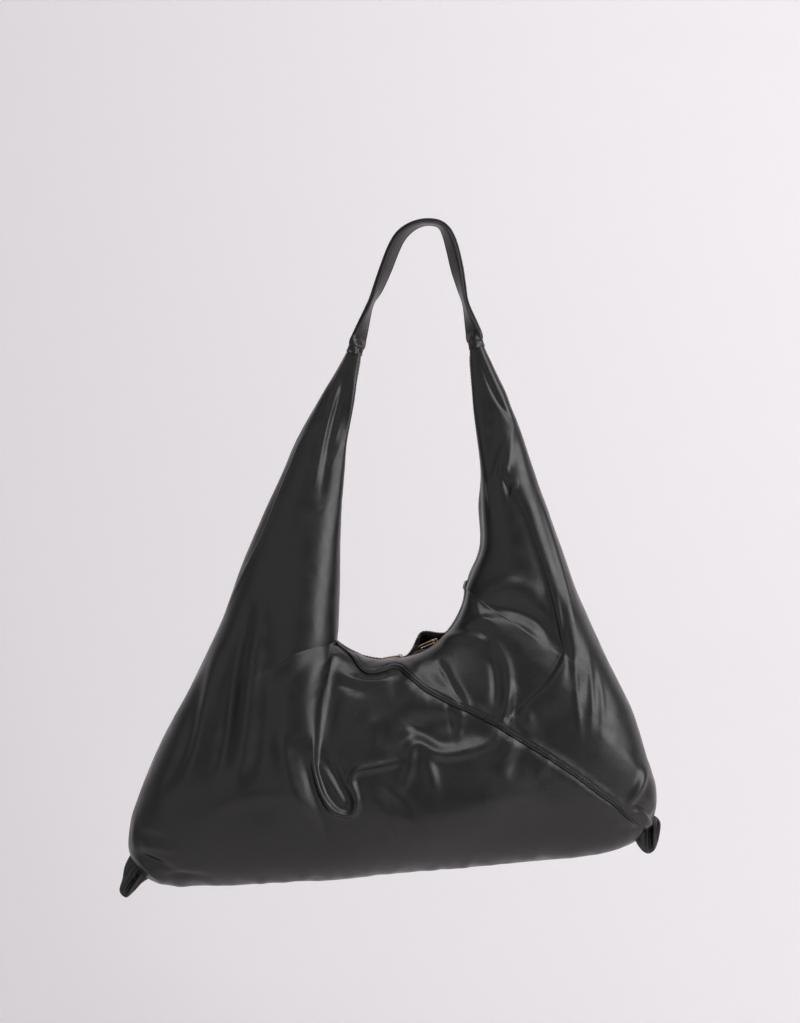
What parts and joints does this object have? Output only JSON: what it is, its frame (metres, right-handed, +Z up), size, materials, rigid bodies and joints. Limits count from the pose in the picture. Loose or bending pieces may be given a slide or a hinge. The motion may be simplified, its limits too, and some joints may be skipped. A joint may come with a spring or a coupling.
{
  "type": "shoulder bag",
  "caption": "Slouchy soft leather shoulder bag: wide sagging body, two tapering arms, short strap loop, curved zipped mouth and diagonal piped seams.",
  "frame": {"origin": "the point that the bag hangs from: the underside of the strap at its highest point", "axes": "+X to the right arm seen from the front, +Y to the back, +Z up"},
  "size_m": [0.5406, 0.1456, 0.6782],
  "materials": {
    "black_leather": "soft semi-gloss nappa with fine grain and creases",
    "strap_leather": "flat doubled leather with stitched edges",
    "lining_cloth": "plain woven dark red-brown cotton",
    "zip_tape_cloth": "woven herringbone tape",
    "bronze_metal": "antique bronze, polished"
  },
  "bodies": {
    "strap": {"strap_outer_layer": "strap_leather", "strap_inner_layer": "strap_leather", "strap_bend_left": "strap_leather", "strap_bend_right": "strap_leather"},
    "bag": {"front_left_panel": "black_leather", "front_right_panel": "black_leather", "back_left_panel": "black_leather", "back_right_panel": "black_leather", "front_seam_piping": "black_leather", "back_seam_piping": "black_leather", "strap_collar_left": "black_leather", "strap_collar_right": "black_leather", "corner_ear_left": "black_leather", "corner_ear_right": "black_leather", "front_lining": "lining_cloth", "back_lining": "lining_cloth", "zip_tape_front": "zip_tape_cloth", "zip_tape_back": "zip_tape_cloth", "zip_teeth_front": "bronze_metal", "zip_teeth_back": "bronze_metal", "zip_stop_left": "bronze_metal", "zip_stop_right": "bronze_metal"},
    "slider_left": {"zip_slider_left": "bronze_metal"},
    "pull_left": {"zip_pull_left": "bronze_metal"},
    "slider_right": {"zip_slider_right": "bronze_metal"},
    "pull_right": {"zip_pull_right": "bronze_metal"}
  },
  "joints": [
    {"name": "strap_swing", "type": "hinge", "parent": "strap", "child": "bag", "pos_m": [0, 0, -0.098], "axis": [1, 0, 0], "range_deg": [-110, 110], "deforming": ["strap_bend_left", "strap_bend_right"]},
    {"name": "zip_left", "type": "hinge", "parent": "bag", "child": "slider_left", "pos_m": [-0.044, 0, -0.355], "axis": [0, 1, 0], "range_deg": [0, 30]},
    {"name": "zip_right", "type": "hinge", "parent": "bag", "child": "slider_right", "pos_m": [-0.044, 0, -0.355], "axis": [0, 1, 0], "range_deg": [-30, 0]},
    {"name": "pull_left_swing", "type": "hinge", "parent": "slider_left", "child": "pull_left", "pos_m": [-0.03109, 0, -0.43218], "axis": [0, 1, 0], "range_deg": [0, 150]},
    {"name": "pull_right_swing", "type": "hinge", "parent": "slider_right", "child": "pull_right", "pos_m": [0.00396, 0, -0.41683], "axis": [0, 1, 0], "range_deg": [0, 150]}
  ]
}
